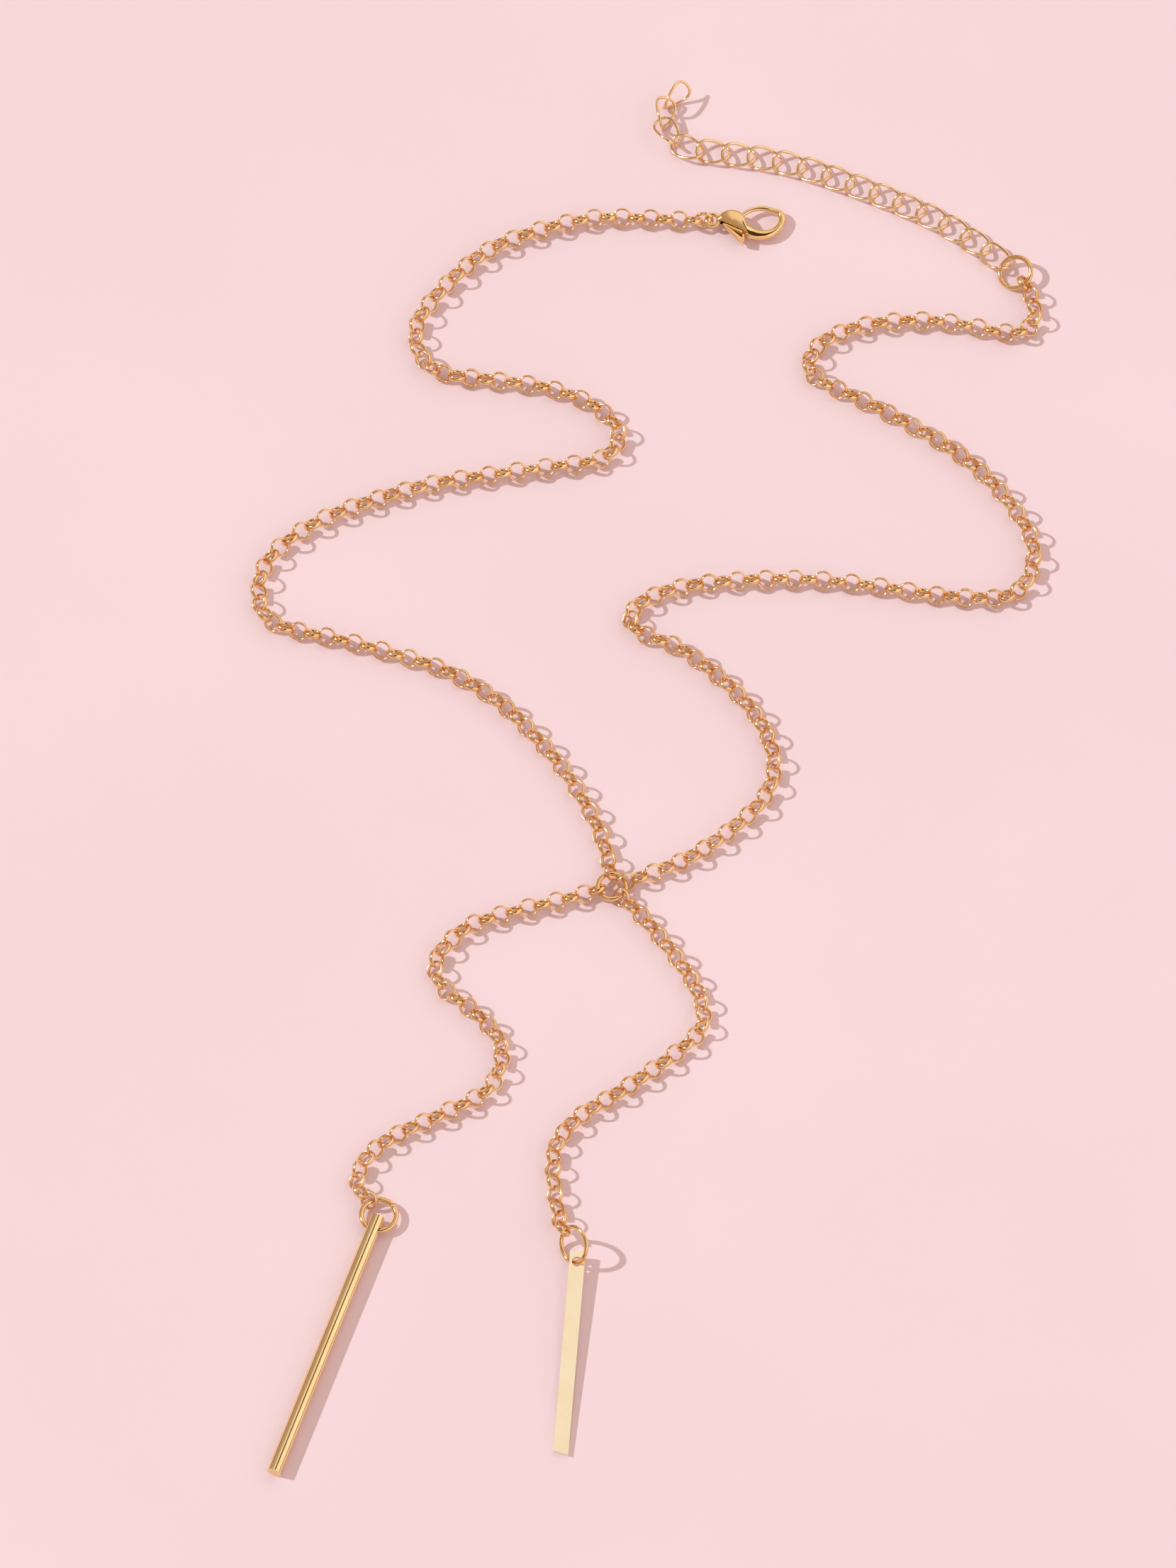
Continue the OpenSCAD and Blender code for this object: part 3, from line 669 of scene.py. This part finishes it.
# where each jump ring's seam is, in degrees round it
MIDDLE_SEAM, EXTENDER_SEAM, ROD_SEAM, STRIP_SEAM, CLASP_SEAM = 60, 200, 40, 150, 90
MIDDLE_PLACE = Matrix.Translation(MIDDLE_C)
put(jump_ring("middle_ring", MIDDLE_R, MIDDLE_WIRE, MIDDLE_PLACE, MIDDLE_SEAM, RING_GOLD),
    "chain", "junction_ring")
EXTENDER_PLACE = (Matrix.Translation((*EXTENDER_C, EXTENDER_Z)) @ turn("Z", EXTENDER_LEAN_AT)
                  @ turn("Y", -EXTENDER_LEAN))
put(jump_ring("end_ring", EXTENDER_R, EXTENDER_WIRE, EXTENDER_PLACE, EXTENDER_SEAM, RING_GOLD),
    "chain", "extender_ring")
ROD_PLACE = Matrix.Translation(ROD_RING_C)
put(jump_ring("rod_ring", ROD_RING_R, ROD_RING_WIRE, ROD_PLACE, ROD_SEAM, RING_GOLD),
    "chain", "bar_ring_left")
STRIP_PLACE = Matrix.Translation(STRIP_RING_C) @ turn("Z", STRIP_RING_AT) @ turn("X", STRIP_RING_LEAN)
put(jump_ring("strip_ring", STRIP_RING_R, STRIP_RING_WIRE, STRIP_PLACE, STRIP_SEAM, RING_GOLD),
    "chain", "bar_ring_right")
CLASP_RING_PLACE = (Matrix.Translation((*CLASP_C, CLASP_RING_Z)) @ turn("Z", CLASP_AT)
                    @ Matrix.Translation((CLASP_RING_X, 0, 0)) @ turn("X", CLASP_RING_ROLL))
put(jump_ring("clasp_ring", CLASP_RING_R, CLASP_RING_WIRE, CLASP_RING_PLACE, CLASP_SEAM, RING_GOLD),
    "chain", "clasp_link")

put(clasp_body(CLASP_GOLD), "chain", "clasp_body")
put(clasp_lever(CLASP_GOLD), "lever", "clasp_lever")
paint("bar_long", ROD_GOLD)
paint("bar_short", STRIP_GOLD)


# Floor, light and camera

FLOOR_HALF = 1.5


def floor():
    corners = [(x * FLOOR_HALF, y * FLOOR_HALF, 0) for x, y in ((-1, -1), (1, -1), (1, 1), (-1, 1))]
    mesh = bpy.data.meshes.new("floor")
    mesh.from_pydata(corners, [], [(0, 1, 2, 3)])
    mesh.materials.append(paper())
    obj = bpy.data.objects.new("floor", mesh)
    bpy.context.scene.collection.objects.link(obj)


# the picture: its size, its pixels to a millimetre, the pixel of the source's zero, and the camera's angle
PICTURE = (1659, 2212)
PX_MM = 10.3
ANCHOR_PX = (923, 1088)
ELEVATION = 64
CAMERA_AWAY = 4.0


def camera():
    """A long lens at the photo's angle, with the source's zero at the anchor's pixel."""
    e = math.radians(ELEVATION)
    x = (PICTURE[0] / 2 - ANCHOR_PX[0]) / PX_MM
    y = (ANCHOR_PX[1] - PICTURE[1] / 2) / PX_MM / math.sin(e)
    target = Vector(((x - CENTRE[0]) * MM, (y - CENTRE[1]) * MM, 0))
    back = Vector((0, -math.cos(e), math.sin(e)))
    data = bpy.data.cameras.new("camera")
    data.sensor_width = 36
    data.lens = CAMERA_AWAY * data.sensor_width / (PICTURE[1] / PX_MM * MM)
    data.clip_end = 100
    obj = bpy.data.objects.new("camera", data)
    bpy.context.scene.collection.objects.link(obj)
    obj.location = target + back * CAMERA_AWAY
    obj.rotation_mode = "QUATERNION"
    obj.rotation_quaternion = (-back).to_track_quat("-Z", "Y")
    bpy.context.scene.camera = obj


def sun(name, towards, strength, angle, colour):
    """A distant light that stands in that direction from the object."""
    data = bpy.data.lights.new(name, "SUN")
    data.energy = strength
    data.angle = math.radians(angle)
    data.color = colour
    obj = bpy.data.objects.new(name, data)
    bpy.context.scene.collection.objects.link(obj)
    obj.rotation_mode = "QUATERNION"
    obj.rotation_quaternion = Vector(towards).normalized().to_track_quat("Z", "Y")


def step_at(tree, value, edge, soft):
    """Rises smoothly from 0 to 1 round an edge."""
    node = tree.nodes.new("ShaderNodeMapRange")
    node.interpolation_type = "SMOOTHSTEP"
    node.inputs["From Min"].default_value = edge - soft
    node.inputs["From Max"].default_value = edge + soft
    tree.links.new(value, node.inputs["Value"])
    return node.outputs["Result"]


def mix(tree, part, first, second):
    """Colours mixed by a part; each is a colour's own numbers or another node's output."""
    node = tree.nodes.new("ShaderNodeMix")
    node.data_type = "RGBA"
    tree.links.new(part, node.inputs["Factor"])
    for socket, value in ((node.inputs[6], first), (node.inputs[7], second)):
        if isinstance(value, tuple):
            socket.default_value = (*value, 1)
        else:
            tree.links.new(value, socket)
    return node.outputs[2]


def maths(tree, operation, first, second):
    """Two numbers worked together; each is a number or another node's output."""
    node = tree.nodes.new("ShaderNodeMath")
    node.operation = operation
    for socket, value in zip(node.inputs, (first, second)):
        if isinstance(value, (int, float)):
            socket.default_value = value
        else:
            tree.links.new(value, socket)
    return node.outputs[0]


def squared(tree, value, half):
    """The square of a value that is counted in halves."""
    part = maths(tree, "DIVIDE", value, half)
    return maths(tree, "MULTIPLY", part, part)


# the studio's walls by direction: bright ahead and behind, brighter to the right, tan to the left and dark
# low down, each with the place of its edge and how soft it is
WALL_BRIGHT = (1.05, 0.92, 0.8)
WALL_RIGHT, RIGHT_EDGE = (1.3, 1.16, 1.0), (0.42, 0.08)
WALL_LEFT, LEFT_EDGE = (0.55, 0.42, 0.32), (-0.2, 0.14)
WALL_LOW, LOW_EDGE = (0.12, 0.06, 0.035), (0.14, 0.08)
# one dark oval overhead: middle, half length and half width, direction, and its edge
OVERHEAD, OVERHEAD_EDGE = (0.07, 0.035, 0.02), (1.0, 0.25)
OVERHEAD_C = (0.14, -0.16)
OVERHEAD_HALF = (0.6, 0.25)
OVERHEAD_AT = 69
WALL_STRENGTH = 0.9
# the one lamp: where it stands, how strong and how wide it is, and its colour
SUN_TOWARDS = (-1.22, 0.28, 1)
SUN_STRENGTH, SUN_WIDTH = 1.98, 1.6
SUN_COLOUR = (0.86, 1.0, 0.96)


def from_oval(tree, x, y):
    """How far a direction is from the oval's middle; 1 is its edge."""
    c, q = math.cos(math.radians(OVERHEAD_AT)), math.sin(math.radians(OVERHEAD_AT))
    near_x = maths(tree, "SUBTRACT", x, OVERHEAD_C[0])
    near_y = maths(tree, "SUBTRACT", y, OVERHEAD_C[1])
    along = maths(tree, "ADD", maths(tree, "MULTIPLY", near_x, c), maths(tree, "MULTIPLY", near_y, q))
    across = maths(tree, "SUBTRACT", maths(tree, "MULTIPLY", near_x, q), maths(tree, "MULTIPLY", near_y, c))
    along = squared(tree, along, OVERHEAD_HALF[0])
    across = squared(tree, across, OVERHEAD_HALF[1])
    return maths(tree, "ADD", along, across)


def surroundings():
    world = bpy.data.worlds.new("studio")
    world.use_nodes = True
    tree = world.node_tree
    place = tree.nodes.new("ShaderNodeTexCoord")
    axes = tree.nodes.new("ShaderNodeSeparateXYZ")
    tree.links.new(place.outputs["Generated"], axes.inputs["Vector"])
    x, y, z = axes.outputs
    colour = mix(tree, step_at(tree, x, *LEFT_EDGE), WALL_LEFT, WALL_BRIGHT)
    colour = mix(tree, step_at(tree, x, *RIGHT_EDGE), colour, WALL_RIGHT)
    colour = mix(tree, step_at(tree, from_oval(tree, x, y), *OVERHEAD_EDGE), OVERHEAD, colour)
    colour = mix(tree, step_at(tree, z, *LOW_EDGE), WALL_LOW, colour)
    background = tree.nodes["Background"]
    tree.links.new(colour, background.inputs["Color"])
    background.inputs["Strength"].default_value = WALL_STRENGTH
    bpy.context.scene.world = world


floor()
camera()
bpy.context.scene.view_settings.view_transform = "Standard"
surroundings()
sun("key", SUN_TOWARDS, SUN_STRENGTH, SUN_WIDTH, SUN_COLOUR)
